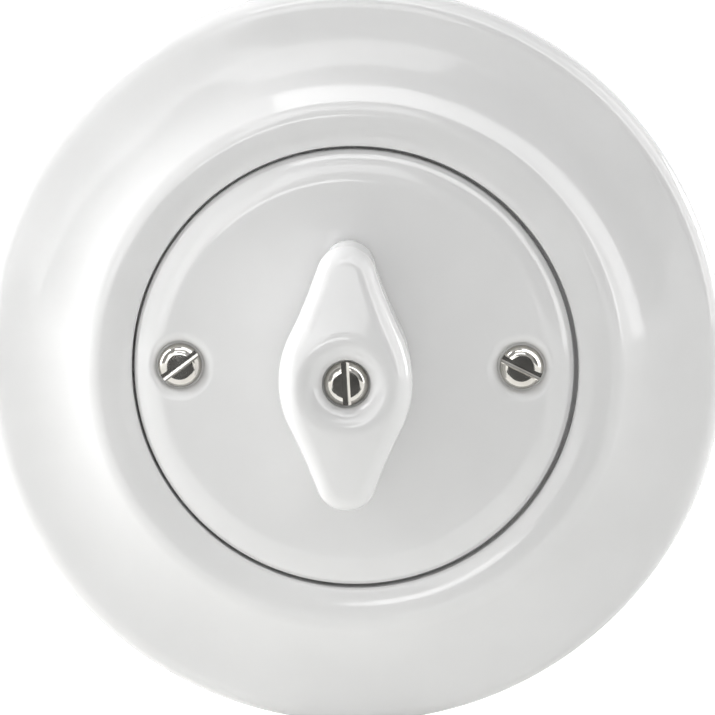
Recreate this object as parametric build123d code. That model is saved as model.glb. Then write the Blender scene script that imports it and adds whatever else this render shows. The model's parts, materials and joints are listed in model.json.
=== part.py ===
"""Rotary two-way wall switch with a round porcelain surround, a round porcelain cover and a lozenge knob.

The surround lies on the wall. The cover sits in its opening and rests on a ledge inside it, so the two cover
screws clamp the surround. Behind them a steel mounting plate carries a ceramic base that hangs in the wall box.
The knob drives a spindle with a four-sided detent cam and an insulating rotor. A brass ring with two lobes round
the rotor joins the common contact to the first or the second way, in turn, at each quarter turn.

Every piece is drawn with x to the right, y up and z forward from the wall, and is set upright at the end: the room
is on the -Y side, +Z is up, and the origin is where the spindle's axis meets the wall. Heights are z values, so what
lies inside the wall box has negative heights. Lengths are in millimetres.
"""

from build123d import *
import os
from math import asin, cos, degrees, pi, radians, sin, sqrt, tan

# Surround: an ogee moulding round an opening. The shares are of the ring's width.
surround_radius = 50.0
rim_curve = 3.0
foot_curve = 0.6
flange_angle = 9.0
ogee_angle = 41.5
ease_angle = 14.0
ease_share = 1.19
hollow_share = 0.397
bead_outer_share = 0.318
bead_inner_share = 0.596
crest_share = 0.206
crest_height = 10.8
opening_edge_curve = 0.5
surround_wall = 3.1
foot_width = 3.8
ledge_height = 7.0
ledge_thickness = 2.2
ledge_width = 2.9

# Cover: a shallow porcelain cap
cover_radius = 29.4
cover_gap = 0.45
cover_face_height = 11.7
cover_shoulder_width = 4.2
cover_shoulder_drop = 1.7
cover_edge_curve = 0.4
cover_thickness = 3.8
cover_rim_width = 3.2
cover_hole_radius = 5.2

# Slotted screws that show, and the dimples that they sit in
screw_head_radius = 2.95
screw_head_height = 1.7
screw_head_curve = 1.05
screw_slot_width = 1.05
screw_slot_depth = 0.9
screw_thread_radius = 1.45
thread_clearance = 0.05
screw_passage_clearance = 0.25
cover_screw_margin = 6.6
left_slot_angle = 37.0
right_slot_angle = -26.0
knob_slot_angle = 93.0
thread_depth = 6.0
dimple_depth = 1.35
dimple_flare = 0.45
dimple_seat_clearance = 0.2
dimple_lip_curve = 1.6

# Knob: a lozenge with a round hub
knob_half_width = 8.25
knob_half_length = 17.2
knob_side_curve = 13.7
knob_tip_curve = 3.5
knob_flank_curve = 62.0
knob_lean = 2.5
knob_air_gap = 0.35
hub_height = 15.9
hub_crest_radius = 5.8
hub_crest_curve = 2.4
bowl_curve = 3.0
wing_slope = 18.0
knob_edge_curve = 2.6
knob_base_curve = 0.5
pocket_clearance = 0.25
screw_seat_depth = 2.6
neck_radius = 4.7
socket_clearance = 0.1
knob_roof = 4.2

# Mounting plate, its cover posts and the screws to the wall box
plate_radius = 36.0
plate_thickness = 1.2
plate_opening_radius = 14.5
box_screw_spacing = 60.0
box_slot_length = 7.0
box_slot_width = 4.0
post_radius = 2.9
post_spigot_radius = 2.0
post_gap = 0.3
rivet_clearance = 0.05

# Bearing bridge across the front of the base
bridge_thickness = 1.5
bridge_width = 13.0
bridge_end_length = 4.5
bridge_screw_radius = 18.0
bridge_screw_length = 12.0
collar_radius = 5.6
collar_height = 2.5

# Spindle
journal_radius = 3.5
journal_clearance = 0.05
square_size = 4.9
rear_journal_radius = 2.4
clip_thickness = 0.6
clip_radius = 5.0
clip_groove_depth = 0.6
end_play = 0.2
neck_air_gap = 1.0
square_lead = 0.4

# Ceramic base
base_radius = 23.0
base_depth = 24.0
base_edge_curve = 1.0
cam_well_radius = 13.5
cam_well_depth = 7.0
rotor_well_clearance = 1.2
base_floor = 4.0

# Detent cam and its two flat springs
cam_half_width = 5.0
cam_corner_curve = 1.7
cam_thickness = 5.0
cam_front_gap = 1.0
spring_gap = 0.1
spring_thickness = 0.5
spring_front_gap = 0.4
spring_slot_clearance = 0.2
spring_half_length = 14.6
spring_end_clearance = 0.4

# Rotor and its contact ring
rotor_radius = 8.0
rotor_rear_gap = 0.6
rotor_front_gap = 0.6
rotor_hub_radius = 4.6
ring_thickness = 1.0
ring_clearance = 0.05
ring_rear_margin = 0.8
ring_band_length = 4.0
lobe_length = 5.0
lobe_angle = 60.0

# Terminals, contact fingers and their clamp screws
way_angles = {"common": 270.0, "first_way": 45.0, "second_way": 135.0}
terminal_width = 8.0
terminal_depth = 6.7
terminal_inner_radius = 13.4
terminal_length = 10.3
terminal_clearance = 0.3
pocket_inner_gap = 1.6
wire_radius = 1.6
wire_tunnel_length = 8.3
clamp_head_radius = 2.4
clamp_head_height = 1.6
clamp_slot_width = 0.8
clamp_slot_depth = 0.7
clamp_opening = 0.7
clamp_mouth_clearance = 0.7
finger_thickness = 0.5
finger_width = 4.6
finger_slot_clearance = 0.7
finger_nose_gap = 0.1
finger_nose_curve = 0.7
finger_bend_curve = 1.5
finger_slope = 28.0
finger_tip_angle = 45.0
finger_tip_length = 2.2
rivet_radius = 1.0
rivet_head_radius = 1.5
rivet_head_height = 0.7
rivet_from_end = 1.8

# Insulating rear plate
rear_plate_radius = 21.5
rear_plate_thickness = 1.5
wire_hole_clearance = 0.7
rear_screw_radius = 17.0
rear_screw_length = 9.0

# Places that several pieces share
opening_radius = cover_radius + cover_gap
ring_width = surround_radius - opening_radius
crest_radius = opening_radius + crest_share * ring_width
bead_inner_curve = bead_inner_share * ring_width
bead_outer_curve = bead_outer_share * ring_width
hollow_curve = hollow_share * ring_width
ease_curve = ease_share * ring_width
ledge_radius = opening_radius - ledge_width
cover_underside = cover_face_height - cover_thickness
screw_seat_height = cover_face_height - dimple_depth
screw_x = cover_radius - cover_screw_margin
dimple_seat_radius = screw_head_radius + dimple_seat_clearance
dimple_mouth_radius = dimple_seat_radius + dimple_flare
thread_hole_radius = screw_thread_radius + thread_clearance
screw_passage_radius = screw_thread_radius + screw_passage_clearance

collar_front = plate_thickness + bridge_thickness + collar_height
clip_rear = collar_front + end_play
clip_front = clip_rear + clip_thickness
journal_front = clip_front + square_lead
neck_bottom = clip_front + neck_air_gap
knob_base_height = cover_face_height + knob_air_gap
hub_crest_height = cover_face_height + hub_height
knob_seat_height = hub_crest_height - screw_seat_depth
socket_top = knob_seat_height - knob_roof
spindle_front = socket_top - 3 * socket_clearance

cam_front = -cam_front_gap
cam_rear = cam_front - cam_thickness
journal_rear = cam_front + end_play
rotor_well_radius = rotor_radius + rotor_well_clearance
base_floor_height = base_floor - base_depth
rotor_rear = base_floor_height + rotor_rear_gap
rotor_front = -cam_well_depth - rotor_front_gap
square_rear = base_floor_height + end_play
spindle_rear = -base_depth + terminal_clearance

ring_rear = rotor_rear + ring_rear_margin
ring_band_front = ring_rear + ring_band_length
lobe_front = ring_band_front + lobe_length
nose_heights = {
    "common": (ring_rear + ring_band_front) / 2,
    "first_way": (ring_band_front + lobe_front) / 2,
    "second_way": (ring_band_front + lobe_front) / 2,
}

terminal_rear = -base_depth + terminal_clearance
terminal_front = terminal_rear + terminal_length
terminal_outer_radius = terminal_inner_radius + terminal_depth
wire_tunnel_radius = (terminal_inner_radius + terminal_outer_radius) / 2
clamp_height = terminal_rear + wire_tunnel_length / 2


def round_corner(face, at, radius):
    """Rounds the corner of a flat face that lies nearest to a point."""
    corner = face.vertices().sort_by_distance(Vector(*at))[0]
    return fillet(corner, radius)


def turned(face):
    """Revolves a profile of radius and height about the spindle's axis."""
    return revolve(Plane.XZ * face, Axis.Z)


def cylinder(radius, low, high):
    """A cylinder on the spindle's axis between two heights."""
    return Pos(0, 0, low) * extrude(Circle(radius), high - low)


def slotted_screw(head_radius, head_height, head_curve, length, slot_width, slot_depth, slot_angle):
    """A slotted pan-head screw on the axis: its head stands on height zero and its shank goes down."""
    half_head = make_face(
        Polyline(
            (0, -length),
            (screw_thread_radius, -length),
            (screw_thread_radius, 0),
            (head_radius, 0),
            (head_radius, head_height),
            (0, head_height),
            close=True,
        )
    )
    half_head = round_corner(half_head, (head_radius, head_height), head_curve)
    slot = Pos(0, 0, head_height - slot_depth) * extrude(
        Rectangle(3 * head_radius, slot_width), slot_depth + head_curve
    )
    return turned(half_head) - Rot(0, 0, slot_angle) * slot


def face_screw(length, slot_angle):
    """One of the three equal screws that show in the front."""
    return slotted_screw(
        screw_head_radius,
        screw_head_height,
        screw_head_curve,
        length,
        screw_slot_width,
        screw_slot_depth,
        slot_angle,
    )


def surround():
    """The moulding: a bead round the opening, an ogee down to a sloping flange, and a ledge under the cover."""
    crest = (crest_radius, crest_height)
    inner_turn = asin((crest_radius - opening_radius) / bead_inner_curve)
    bead_inside = JernArc(crest, (-1, 0), bead_inner_curve, degrees(inner_turn))
    bead_outside = JernArc(crest, (1, 0), bead_outer_curve, -ogee_angle)
    hollow = JernArc(bead_outside @ 1, bead_outside % 1, hollow_curve, ogee_angle - ease_angle)
    ease = JernArc(hollow @ 1, hollow % 1, ease_curve, ease_angle - flange_angle)
    flange_start = ease @ 1
    rim_height = flange_start.Y - (surround_radius - flange_start.X) * tan(radians(flange_angle))
    inner_edge = bead_inside @ 1
    foot_inner = surround_radius - foot_width
    ledge_bottom = ledge_height - ledge_thickness
    wall_inside = opening_radius + surround_wall
    # The back is hollow behind the bead and follows the ogee at the wall's thickness.
    outline = Polyline(
        flange_start,
        (surround_radius, rim_height),
        (surround_radius, 0),
        (foot_inner, 0),
        (flange_start.X, rim_height - surround_wall + foot_curve),
        (bead_outside @ 1 - Vector(surround_wall * sin(radians(ogee_angle)), surround_wall)),
        (wall_inside, crest_height - surround_wall),
        (wall_inside - foot_curve, ledge_bottom),
        (ledge_radius, ledge_bottom),
        (ledge_radius, ledge_height),
        (opening_radius, ledge_height),
        inner_edge,
    )
    section = make_face([bead_inside, bead_outside, hollow, ease, outline])
    section = round_corner(section, (surround_radius, rim_height), rim_curve)
    section = round_corner(section, (surround_radius, 0), foot_curve)
    section = round_corner(section, (inner_edge.X, inner_edge.Y), opening_edge_curve)
    return turned(section)


def cover_plate():
    """The cap: a flat face, a rounded shoulder, a rim that stands on the ledge, and three holes."""
    shoulder_radius = cover_radius - cover_shoulder_width
    edge_height = cover_face_height - cover_shoulder_drop
    rim_inside = cover_radius - cover_rim_width
    shoulder = TangentArc((shoulder_radius, cover_face_height), (cover_radius, edge_height), tangent=(1, 0))
    outline = Polyline(
        (cover_radius, edge_height),
        (cover_radius, ledge_height),
        (rim_inside, ledge_height),
        (rim_inside, cover_underside),
        (cover_hole_radius, cover_underside),
        (cover_hole_radius, cover_face_height),
        (shoulder_radius, cover_face_height),
    )
    section = make_face([shoulder, outline])
    section = round_corner(section, (cover_radius, edge_height), cover_edge_curve)
    plate = turned(section)
    dimple_section = make_face(
        Polyline(
            (0, screw_seat_height),
            (dimple_seat_radius, screw_seat_height),
            (dimple_mouth_radius, cover_face_height),
            (dimple_mouth_radius, cover_face_height + dimple_depth),
            (0, cover_face_height + dimple_depth),
            close=True,
        )
    )
    dimple = turned(dimple_section)
    passage = cylinder(screw_passage_radius, cover_underside - 1, cover_face_height)
    for x in (-screw_x, screw_x):
        plate -= Pos(x, 0, 0) * dimple
        lips = [
            edge
            for edge in plate.edges()
            if edge.center().Z > screw_seat_height + dimple_depth / 2
            and sqrt((edge.center().X - x) ** 2 + edge.center().Y ** 2) < dimple_mouth_radius + 0.1
        ]
        plate = fillet(lips, dimple_lip_curve)
        plate -= Pos(x, 0, 0) * passage
    return plate


def lozenge():
    """The knob's outline: two bowed sides and two round tips, joined by four slightly hollow flanks."""
    side_centre = Vector(knob_half_width - knob_side_curve, 0)
    tip_centre = Vector(0, knob_half_length - knob_tip_curve)
    to_side = knob_side_curve + knob_flank_curve
    to_tip = knob_tip_curve + knob_flank_curve
    span = tip_centre - side_centre
    along = (to_side**2 - to_tip**2 + span.length**2) / (2 * span.length)
    across = sqrt(to_side**2 - along**2)
    forward = span.normalized()
    flank_centre = side_centre + forward * along + Vector(forward.Y, -forward.X) * across
    side_end = side_centre + (flank_centre - side_centre).normalized() * knob_side_curve
    tip_end = tip_centre + (flank_centre - tip_centre).normalized() * knob_tip_curve
    chord_middle = (side_end + tip_end) * 0.5
    flank_middle = flank_centre + (chord_middle - flank_centre).normalized() * knob_flank_curve

    def placed(point, right, up):
        return (right * point.X, up * point.Y)

    edges = []
    for right in (1, -1):
        edges.append(
            ThreePointArc(placed(side_end, right, -1), (right * knob_half_width, 0), placed(side_end, right, 1))
        )
        for up in (1, -1):
            edges.append(
                ThreePointArc(
                    placed(side_end, right, up), placed(flank_middle, right, up), placed(tip_end, right, up)
                )
            )
    for up in (1, -1):
        edges.append(
            ThreePointArc(placed(tip_end, 1, up), (0, up * knob_half_length), placed(tip_end, -1, up))
        )
    return make_face(edges)


def knob():
    """The handle: a lozenge that widens upwards. Its wings rise to a round crest that rolls in to the screw."""
    reach = 2 * knob_half_length
    pocket_radius = screw_head_radius + pocket_clearance
    roll_angle = degrees(asin((hub_crest_radius - pocket_radius) / bowl_curve))
    crest = (hub_crest_radius, hub_crest_height)
    shoulder = JernArc(crest, (1, 0), hub_crest_curve, -wing_slope)
    roll = JernArc(crest, (-1, 0), bowl_curve, roll_angle)
    wing_start = shoulder @ 1
    wing_end_height = wing_start.Y - (reach - wing_start.X) * tan(radians(wing_slope))
    outline = Polyline(
        roll @ 1,
        (pocket_radius, knob_seat_height),
        (0, knob_seat_height),
        (0, knob_base_height),
        (reach, knob_base_height),
        (reach, wing_end_height),
        wing_start,
    )
    crown = make_face([shoulder, roll, outline])
    wall = Pos(0, 0, knob_base_height) * extrude(lozenge(), 2 * hub_height, taper=-knob_lean)
    body = wall & turned(crown)
    top_edges = [
        edge
        for edge in body.edges()
        if edge.center().Z > (knob_base_height + knob_seat_height) / 2
        and sqrt(edge.center().X ** 2 + edge.center().Y ** 2) > hub_crest_radius + hub_crest_curve / 2
    ]
    body = fillet(top_edges, knob_edge_curve)
    body = fillet(body.faces().sort_by(Axis.Z)[0].outer_wire().edges(), knob_base_curve)
    body += cylinder(neck_radius, neck_bottom, knob_base_height + knob_base_curve)
    socket_size = square_size + 2 * socket_clearance
    body -= Pos(0, 0, neck_bottom) * extrude(Rectangle(socket_size, socket_size), socket_top - neck_bottom)
    body -= cylinder(screw_passage_radius, socket_top, knob_seat_height)
    return body


def knob_screw():
    """Goes down through the knob into the spindle's end."""
    length = knob_seat_height - (spindle_front - thread_depth) - end_play
    return Pos(0, 0, knob_seat_height) * face_screw(length, knob_slot_angle)


def cover_screw(x, slot_angle):
    """Goes through the cover into its post."""
    length = screw_seat_height - plate_thickness - end_play
    return Pos(x, 0, screw_seat_height) * face_screw(length, slot_angle)


def cover_post(x):
    """A turned post that is riveted in the mounting plate and takes a cover screw."""
    post_top = cover_underside - post_gap
    post = cylinder(post_radius, plate_thickness, post_top) + cylinder(post_spigot_radius, 0, plate_thickness)
    return Pos(x, 0, 0) * (post - cylinder(thread_hole_radius, plate_thickness, post_top))


def mounting_plate():
    """The stamped steel plate against the wall, with slots for the wall box's screws above and below."""
    plate = Circle(plate_radius) - Circle(plate_opening_radius)
    for side in (-1, 1):
        slot = SlotOverall(box_slot_length, box_slot_width, rotation=90)
        plate -= Pos(0, side * box_screw_spacing / 2) * slot
        plate -= Pos(side * screw_x, 0) * Circle(post_spigot_radius + rivet_clearance)
        plate -= Pos(0, side * bridge_screw_radius) * Circle(screw_passage_radius)
    return extrude(plate, plate_thickness)


def bearing_bridge():
    """The strap with a collar that carries the spindle's front journal."""
    half_length = bridge_screw_radius + bridge_end_length
    strap = Rectangle(bridge_width, 2 * half_length)
    strap = fillet(strap.vertices(), bridge_end_length)
    for side in (-1, 1):
        strap -= Pos(0, side * bridge_screw_radius) * Circle(screw_passage_radius)
    bridge = Pos(0, 0, plate_thickness) * extrude(strap, bridge_thickness)
    bridge += cylinder(collar_radius, plate_thickness, collar_front)
    return bridge - cylinder(journal_radius + journal_clearance, 0, collar_front)


def bridge_screw(side):
    """Holds the bridge and the base on the plate."""
    screw = face_screw(bridge_screw_length, 0)
    return Pos(0, side * bridge_screw_radius, plate_thickness + bridge_thickness) * screw


def spindle():
    """One turned and milled rod: square for the knob, journals in bridge and base, square for cam and rotor."""
    square = Rectangle(square_size, square_size)
    rod = cylinder(rear_journal_radius, spindle_rear, square_rear)
    rod += Pos(0, 0, square_rear) * extrude(square, journal_rear - square_rear)
    rod += cylinder(journal_radius, journal_rear, journal_front)
    rod += Pos(0, 0, journal_front) * extrude(square, spindle_front - journal_front)
    groove = cylinder(clip_radius, clip_rear, clip_front) - cylinder(
        journal_radius - clip_groove_depth, clip_rear, clip_front
    )
    rod -= groove
    return rod - cylinder(thread_hole_radius, spindle_front - thread_depth, spindle_front)


def spindle_clip():
    """The open ring in the spindle's groove."""
    ring = Circle(clip_radius) - Circle(journal_radius - clip_groove_depth + thread_clearance)
    mouth = Pos(0, -clip_radius) * Rectangle(journal_radius, 2 * clip_radius)
    clip_height = clip_thickness - 2 * thread_clearance
    return Pos(0, 0, clip_rear + thread_clearance) * extrude(ring - mouth, clip_height)


def at_angle(angle):
    """Turns a piece that is drawn along +x to its place round the spindle."""
    return Rot(0, 0, angle)


def block(inner, outer, width, low, high):
    """A block along +x between two distances from the axis and two heights."""
    return Pos((inner + outer) / 2, 0, low) * extrude(Rectangle(outer - inner, width), high - low)


def mechanism_base():
    """The ceramic body: a well for the cam, a narrower one for the rotor, and three terminal pockets."""
    body = cylinder(base_radius, -base_depth, 0)
    body = fillet(body.edges().sort_by(Axis.Z)[0], base_edge_curve)
    body -= cylinder(cam_well_radius, -cam_well_depth, 0)
    body -= cylinder(rotor_well_radius, base_floor_height, 0)
    body -= cylinder(rear_journal_radius + journal_clearance, -base_depth, 0)
    slot_width = spring_thickness + 2 * spring_slot_clearance
    slot_length = 2 * (spring_half_length + spring_end_clearance)
    for side in (-1, 1):
        spring_x = side * (cam_half_width + spring_gap + spring_thickness / 2)
        slot = Pos(spring_x, 0, -cam_well_depth) * extrude(Rectangle(slot_width, slot_length), cam_well_depth)
        body -= slot
        body -= Pos(0, side * bridge_screw_radius, 0) * cylinder(
            thread_hole_radius, plate_thickness + bridge_thickness - bridge_screw_length - end_play, 0
        )
        body -= Pos(side * rear_screw_radius, 0, 0) * cylinder(
            thread_hole_radius, -base_depth, rear_screw_length - rear_plate_thickness - base_depth + end_play
        )
    pocket_front = terminal_front + terminal_clearance
    pocket_outer = terminal_outer_radius + terminal_clearance
    pocket_width = terminal_width + 2 * terminal_clearance
    mouth_width = 2 * (clamp_head_radius + clamp_mouth_clearance)
    passage_width = finger_width + 2 * finger_slot_clearance
    for angle in way_angles.values():
        pocket = block(terminal_inner_radius - pocket_inner_gap, pocket_outer, pocket_width, -base_depth, pocket_front)
        pocket += block(pocket_outer - 1, base_radius + 1, mouth_width, -base_depth, pocket_front)
        pocket += block(0, terminal_inner_radius, passage_width, base_floor_height, lobe_front)
        body -= at_angle(angle) * pocket
    return body


def detent_spring(side):
    """A flat spring that lies along one side of the cam and is held in two slots of the base."""
    x = side * (cam_half_width + spring_gap + spring_thickness / 2)
    strip = Rectangle(spring_thickness, 2 * spring_half_length)
    low = -cam_well_depth + spring_slot_clearance
    return Pos(x, 0, low) * extrude(strip, -spring_front_gap - low)


def square_bore(low, high):
    """The square hole by which a piece sits on the spindle."""
    size = square_size + 2 * thread_clearance
    return Pos(0, 0, low) * extrude(Rectangle(size, size), high - low)


def detent_cam():
    """The rounded square whose four flats the springs hold."""
    outline = fillet(Rectangle(2 * cam_half_width, 2 * cam_half_width).vertices(), cam_corner_curve)
    cam = Pos(0, 0, cam_rear) * extrude(outline, cam_thickness)
    return cam - square_bore(cam_rear, cam_front)


def ring_shape(inner_radius, outer_radius, grow):
    """The contact ring's band and its two lobes, or the room for them when it is grown."""
    low = ring_rear - grow
    band = cylinder(outer_radius, low, ring_band_front + grow)
    half_turn = lobe_angle / 2 + degrees(grow / rotor_radius)
    reach = 2 * outer_radius
    wedge = make_face(
        Polyline(
            (0, 0),
            (reach, -reach * tan(radians(half_turn))),
            (reach, reach * tan(radians(half_turn))),
            close=True,
        )
    )
    for turn in (way_angles["first_way"], way_angles["first_way"] + 180):
        lobe = extrude(Circle(outer_radius) & (Rot(0, 0, turn) * wedge), lobe_front + grow - low)
        band += Pos(0, 0, low) * lobe
    return band - cylinder(inner_radius, low, lobe_front + grow)


def contact_ring():
    """The brass ring: its band feeds from the common contact, and its lobes meet one way or the other."""
    return ring_shape(rotor_radius - ring_thickness, rotor_radius, 0)


def contact_rotor():
    """The insulating drum, with lands between the ring's lobes."""
    drum = cylinder(rotor_radius - ring_clearance, rotor_rear, rotor_front)
    drum += cylinder(rotor_hub_radius, rotor_front, cam_rear - end_play)
    drum -= ring_shape(rotor_radius - ring_thickness - ring_clearance, 2 * rotor_radius, ring_clearance)
    return drum - square_bore(rotor_rear, cam_rear)


def terminal(way):
    """A brass block with a wire tunnel from behind, a thread for the clamp screw, and a rivet for its finger."""
    body = block(terminal_inner_radius, terminal_outer_radius, terminal_width, terminal_rear, terminal_front)
    tunnel = cylinder(wire_radius, terminal_rear, terminal_rear + wire_tunnel_length)
    body -= Pos(wire_tunnel_radius, 0, 0) * tunnel
    clamp_hole = extrude(Circle(thread_hole_radius), terminal_outer_radius - wire_tunnel_radius)
    body -= Pos(wire_tunnel_radius, 0, clamp_height) * Rot(0, 90, 0) * clamp_hole
    shank_length = finger_thickness + rivet_head_height
    rivet = extrude(Circle(rivet_radius), shank_length) + Pos(0, 0, finger_thickness) * extrude(
        Circle(rivet_head_radius), rivet_head_height
    )
    body += Pos(terminal_inner_radius, 0, terminal_rear + rivet_from_end) * Rot(0, -90, 0) * rivet
    return at_angle(way_angles[way]) * body


def terminal_screw(way):
    """The clamp screw, wound out so that a wire can enter."""
    length = clamp_opening + terminal_outer_radius - wire_tunnel_radius - wire_radius - end_play
    screw = slotted_screw(
        clamp_head_radius, clamp_head_height, clamp_head_height / 2, length, clamp_slot_width, clamp_slot_depth, 0
    )
    placed = Pos(terminal_outer_radius + clamp_opening, 0, clamp_height) * Rot(0, 90, 0) * screw
    return at_angle(way_angles[way]) * placed


def contact_finger(way):
    """A bronze strip from its terminal, bent inwards to a nose that rides on the rotor."""
    half = finger_thickness / 2
    slope = radians(finger_slope)
    tip = radians(finger_tip_angle)
    back = terminal_inner_radius - half
    nose_centre = Vector(rotor_radius + finger_nose_gap + half + finger_nose_curve, nose_heights[way])
    # The strip's two straight ends meet in a corner beyond the nose's curve.
    outward = pi + (tip - slope) / 2
    corner_reach = finger_nose_curve / cos((pi - slope - tip) / 2)
    corner = nose_centre + Vector(cos(outward), sin(outward)) * corner_reach
    path = FilletPolyline(
        (back, terminal_rear + terminal_clearance),
        (back, corner.Y - (back - corner.X) * tan(slope)),
        corner,
        corner + Vector(cos(tip), sin(tip)) * finger_tip_length,
        radius=[finger_bend_curve, finger_nose_curve],
    )
    strip = extrude(Plane.XZ * trace(path, finger_thickness), finger_width / 2, both=True)
    rivet_height = terminal_rear + rivet_from_end
    rivet_hole = extrude(Circle(rivet_radius + rivet_clearance), 4 * finger_thickness, both=True)
    strip -= Pos(back, 0, rivet_height) * Rot(0, 90, 0) * rivet_hole
    return at_angle(way_angles[way]) * strip


def rear_plate():
    """The hard-paper disc that keeps the terminals in their pockets, with a hole for each wire."""
    disc = Circle(rear_plate_radius)
    for angle in way_angles.values():
        disc -= at_angle(angle) * Pos(wire_tunnel_radius, 0) * Circle(wire_radius + wire_hole_clearance)
    for side in (-1, 1):
        disc -= Pos(side * rear_screw_radius, 0) * Circle(screw_passage_radius)
    return Pos(0, 0, -base_depth - rear_plate_thickness) * extrude(disc, rear_plate_thickness)


def rear_screw(side):
    """Holds the rear plate on the base, with its head to the back."""
    screw = Rot(180, 0, 0) * face_screw(rear_screw_length, 0)
    return Pos(side * rear_screw_radius, 0, -base_depth - rear_plate_thickness) * screw


def pieces():
    """Every piece by the name of its file."""
    made = {
        "surround": surround(),
        "cover_plate": cover_plate(),
        "cover_screw_left": cover_screw(-screw_x, left_slot_angle),
        "cover_screw_right": cover_screw(screw_x, right_slot_angle),
        "cover_post_left": cover_post(-screw_x),
        "cover_post_right": cover_post(screw_x),
        "mounting_plate": mounting_plate(),
        "bearing_bridge": bearing_bridge(),
        "bridge_screw_upper": bridge_screw(1),
        "bridge_screw_lower": bridge_screw(-1),
        "mechanism_base": mechanism_base(),
        "detent_spring_left": detent_spring(-1),
        "detent_spring_right": detent_spring(1),
        "rear_plate": rear_plate(),
        "rear_screw_left": rear_screw(-1),
        "rear_screw_right": rear_screw(1),
        "knob": knob(),
        "knob_screw": knob_screw(),
        "spindle": spindle(),
        "spindle_clip": spindle_clip(),
        "detent_cam": detent_cam(),
        "contact_rotor": contact_rotor(),
        "contact_ring": contact_ring(),
    }
    for way in way_angles:
        made[way + "_terminal"] = terminal(way)
        made[way + "_clamp_screw"] = terminal_screw(way)
        made[way + "_finger"] = contact_finger(way)
    return made


os.makedirs("parts", exist_ok=True)
for name, shape in pieces().items():
    solid = (Rot(90, 0, 0) * shape).solids()
    assert len(solid) == 1, name
    export_step(solid[0], "parts/" + name + ".step")
    size = solid[0].bounding_box().size
    print(name, "%.2f x %.2f x %.2f mm, %.0f mm3" % (size.X, size.Y, size.Z, solid[0].volume))
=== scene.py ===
"""Dresses the rotary wall switch: glazed porcelain in front, metal and ceramic mechanism behind it."""
import json
from math import acos, asin, atan2, ceil, cos, degrees, hypot, pi, radians, sin, sqrt, tan

import bmesh
import bpy
import numpy as np
from mathutils import Matrix, Vector
from mathutils.geometry import delaunay_2d_cdt


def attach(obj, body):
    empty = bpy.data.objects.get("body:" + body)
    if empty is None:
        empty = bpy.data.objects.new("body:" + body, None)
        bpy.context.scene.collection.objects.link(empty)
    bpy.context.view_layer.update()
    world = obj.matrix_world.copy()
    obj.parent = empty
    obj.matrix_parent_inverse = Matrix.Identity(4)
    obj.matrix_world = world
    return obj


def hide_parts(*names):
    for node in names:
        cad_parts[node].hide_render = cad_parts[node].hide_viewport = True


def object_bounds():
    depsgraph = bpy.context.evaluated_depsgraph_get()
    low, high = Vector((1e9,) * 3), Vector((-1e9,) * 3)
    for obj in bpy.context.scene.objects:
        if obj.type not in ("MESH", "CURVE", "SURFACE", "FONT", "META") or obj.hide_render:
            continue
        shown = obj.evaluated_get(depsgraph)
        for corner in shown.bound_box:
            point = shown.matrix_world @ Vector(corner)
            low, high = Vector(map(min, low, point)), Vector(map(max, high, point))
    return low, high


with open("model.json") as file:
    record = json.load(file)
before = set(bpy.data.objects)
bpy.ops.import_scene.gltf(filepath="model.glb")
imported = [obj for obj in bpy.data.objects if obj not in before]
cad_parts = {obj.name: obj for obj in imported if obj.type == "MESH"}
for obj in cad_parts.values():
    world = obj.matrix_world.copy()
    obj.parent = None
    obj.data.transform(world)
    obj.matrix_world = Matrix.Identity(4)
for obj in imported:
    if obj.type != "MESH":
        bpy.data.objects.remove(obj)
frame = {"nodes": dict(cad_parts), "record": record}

cad_low, cad_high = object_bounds()

# The pieces are drawn in millimetres with z forward from the wall, as in the part's source.
MM = 0.001
UPRIGHT = Matrix.Rotation(radians(90), 4, "X") @ Matrix.Scale(MM, 4)

# Sizes as in the part's source
SURROUND_RADIUS, OPENING_RADIUS = 50.0, 29.85
RING_WIDTH = SURROUND_RADIUS - OPENING_RADIUS
CREST_RADIUS, CREST_HEIGHT = OPENING_RADIUS + 0.206 * RING_WIDTH, 10.8
BEAD_INNER, FLANGE_ANGLE, RIM_CURVE = 0.596 * RING_WIDTH, 9.0, 3.0
SURROUND_WALL, FLANGE_WALL, FOOT_WIDTH = 3.1, 2.5, 3.8
LEDGE_HEIGHT, LEDGE_RADIUS, LEDGE_THICKNESS = 7.0, 26.95, 2.2
COVER_RADIUS, COVER_FACE, COVER_UNDERSIDE = 29.4, 11.7, 7.9
COVER_HOLE, COVER_RIM_INSIDE = 5.2, 26.2
SHOULDER_RADIUS, SHOULDER_DROP = 25.2, 1.7
SCREW_X, SCREW_SEAT, SCREW_PASSAGE = 22.8, 10.35, 1.7
DIMPLE_SEAT, DIMPLE_MOUTH, DIMPLE_LIP = 3.15, 3.6, 1.6
HEAD_RADIUS, HEAD_HEIGHT = 2.95, 1.7
SLOT_WIDTH, SLOT_DEPTH = 1.05, 0.9
SHANK_RADIUS = 1.45
KNOB_BASE, KNOB_BASE_CURVE, KNOB_EDGE_CURVE, KNOB_LEAN = 12.05, 0.5, 2.6, 2.5
KNOB_HALF_WIDTH, KNOB_HALF_LENGTH = 8.25, 17.2
KNOB_SIDE, KNOB_TIP, KNOB_FLANK = 13.7, 3.5, 62.0
HUB_CREST, HUB_CREST_RADIUS, BOWL_CURVE, WING_SLOPE = 27.6, 5.8, 3.0, 18.0
POCKET_RADIUS, KNOB_SEAT = 3.2, 25.0
NECK_RADIUS, NECK_BOTTOM = 4.7, 7.0
SOCKET_HALF, SOCKET_TOP = 2.55, 20.8
BRIDGE_FRONT, BRIDGE_SCREW_Y = 2.7, 18.0
REAR_FACE, REAR_SCREW_X = -25.5, 17.0
CLAMP_SEAT, CLAMP_HEIGHT = 20.8, -19.55
WAYS = {"common": 270, "first_way": 45, "second_way": 135}

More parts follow.
